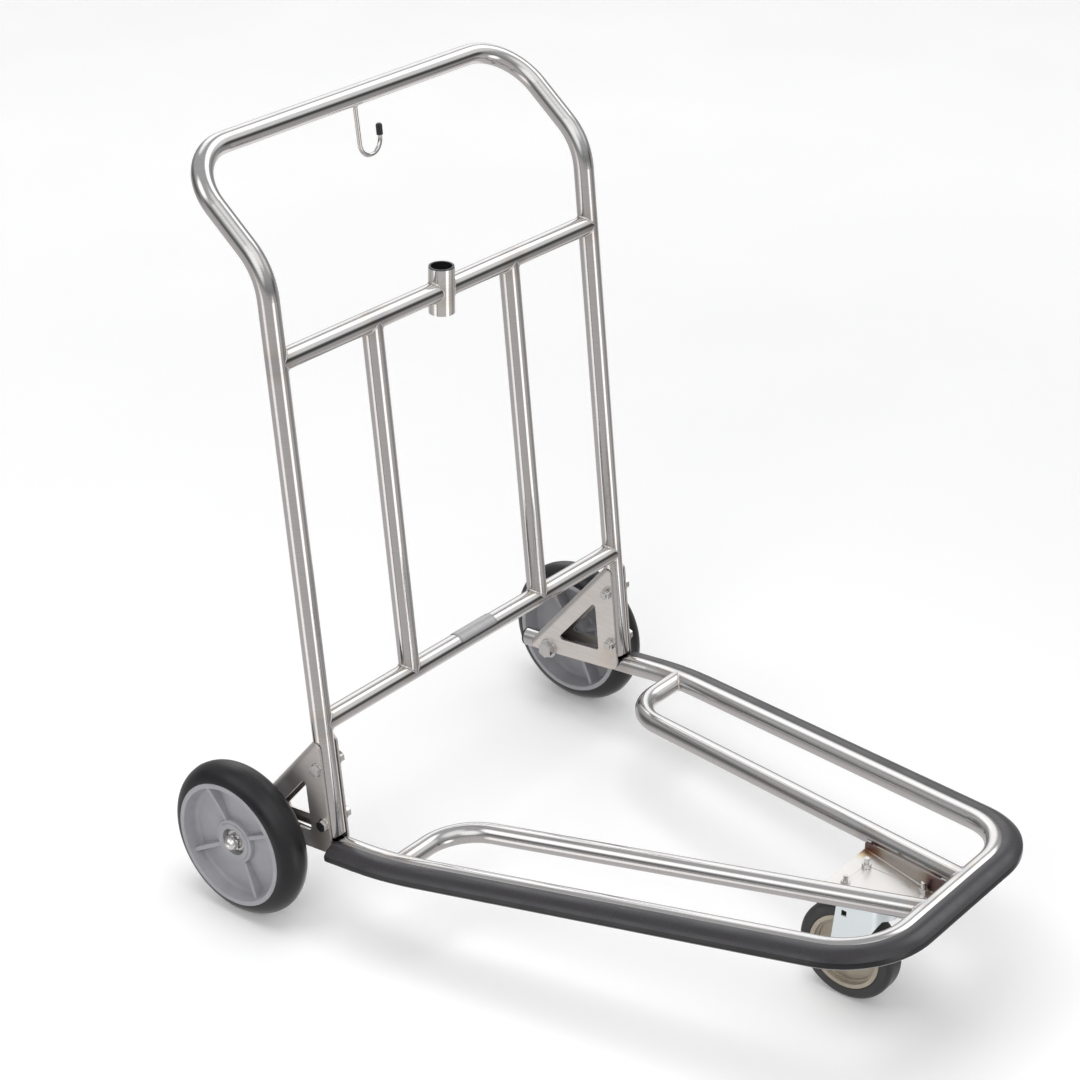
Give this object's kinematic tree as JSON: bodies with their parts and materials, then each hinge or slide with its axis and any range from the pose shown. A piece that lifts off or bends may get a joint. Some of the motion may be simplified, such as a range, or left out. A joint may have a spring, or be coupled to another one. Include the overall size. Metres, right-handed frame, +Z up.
{
  "type": "folding platform cart",
  "caption": "Platform cart of bent steel tube: a tapered deck edged with a bumper, a handle frame that folds forward, fixed rear wheels and a swivel caster under the nose",
  "frame": {"origin": "on the floor, under the middle of the cart's width and length", "axes": "+Z up, +X to the cart's right seen from behind it, -Y forward toward the nose and the caster"},
  "size_m": [0.7122, 0.9284, 0.9475],
  "materials": {
    "stainless": "satin polished stainless tube, soft highlights along its length",
    "stainless_plate": "folded stainless sheet, brushed",
    "fastener_steel": "bright plated fasteners",
    "zinc_plate": "pale blue-white zinc plating",
    "bumper_rubber": "matte charcoal rubber",
    "tyre_rubber": "satin black rubber",
    "caster_rubber": "dark grey thermoplastic rubber",
    "hub_plastic": "mid grey moulded plastic",
    "core_plastic": "beige moulded plastic",
    "black_plastic": "black moulded plastic",
    "badge_metal": "brushed aluminium plate, blank"
  },
  "bodies": {
    "platform": {"platform_tube": "stainless", "inner_loop_left": "stainless", "inner_loop_right": "stainless", "bumper_strip": "bumper_rubber", "bumper_screws": "fastener_steel", "tube_end_plugs": "black_plastic", "bracket_left": "stainless_plate", "bracket_right": "stainless_plate", "pivot_bolts": "fastener_steel", "pivot_nuts": "fastener_steel", "lock_bolts": "fastener_steel", "lock_nuts": "fastener_steel", "bolt_washers": "fastener_steel", "axle_bolts": "fastener_steel", "axle_spacers": "fastener_steel", "axle_sleeves": "fastener_steel", "axle_washers": "fastener_steel", "dome_nuts": "fastener_steel", "caster_tray": "stainless_plate", "mounting_bolts": "fastener_steel", "mounting_nuts": "fastener_steel", "caster_top_plate": "zinc_plate", "swivel_race": "zinc_plate", "kingpin": "zinc_plate"},
    "handle": {"handle_tube": "stainless", "pivot_sleeves": "fastener_steel", "lower_crossbar": "stainless", "upper_crossbar": "stainless", "grid_bar_left": "stainless", "grid_bar_right": "stainless", "pole_socket": "stainless", "socket_liner": "black_plastic", "bag_hook": "stainless", "hook_tip_cap": "black_plastic", "badge_plate": "badge_metal"},
    "wheel_left": {"left_tyre": "tyre_rubber", "left_hub": "hub_plastic", "left_bearings": "fastener_steel"},
    "wheel_right": {"right_tyre": "tyre_rubber", "right_hub": "hub_plastic", "right_bearings": "fastener_steel"},
    "caster_swivel": {"caster_fork": "zinc_plate", "swivel_balls": "fastener_steel", "caster_axle_bolt": "fastener_steel", "caster_axle_nut": "fastener_steel", "caster_axle_sleeve": "fastener_steel"},
    "caster_wheel": {"caster_tyre": "caster_rubber", "caster_core": "core_plastic", "caster_bearings": "fastener_steel"}
  },
  "joints": [
    {"name": "handle_fold", "type": "hinge", "parent": "platform", "child": "handle", "pos_m": [0, 0.24783, 0.1478], "axis": [1, 0, 0], "range_deg": [0, 90.8]},
    {"name": "left_wheel_spin", "type": "hinge", "parent": "platform", "child": "wheel_left", "pos_m": [-0.3314, 0.35537, 0.1016], "axis": [1, 0, 0], "continuous": true},
    {"name": "right_wheel_spin", "type": "hinge", "parent": "platform", "child": "wheel_right", "pos_m": [0.3314, 0.35537, 0.1016], "axis": [1, 0, 0], "continuous": true},
    {"name": "caster_swivel", "type": "hinge", "parent": "platform", "child": "caster_swivel", "pos_m": [0, -0.35093, 0.148], "axis": [0, 0, 1], "continuous": true},
    {"name": "caster_wheel_spin", "type": "hinge", "parent": "caster_swivel", "child": "caster_wheel", "pos_m": [0, -0.31293, 0.0635], "axis": [1, 0, 0], "continuous": true}
  ]
}
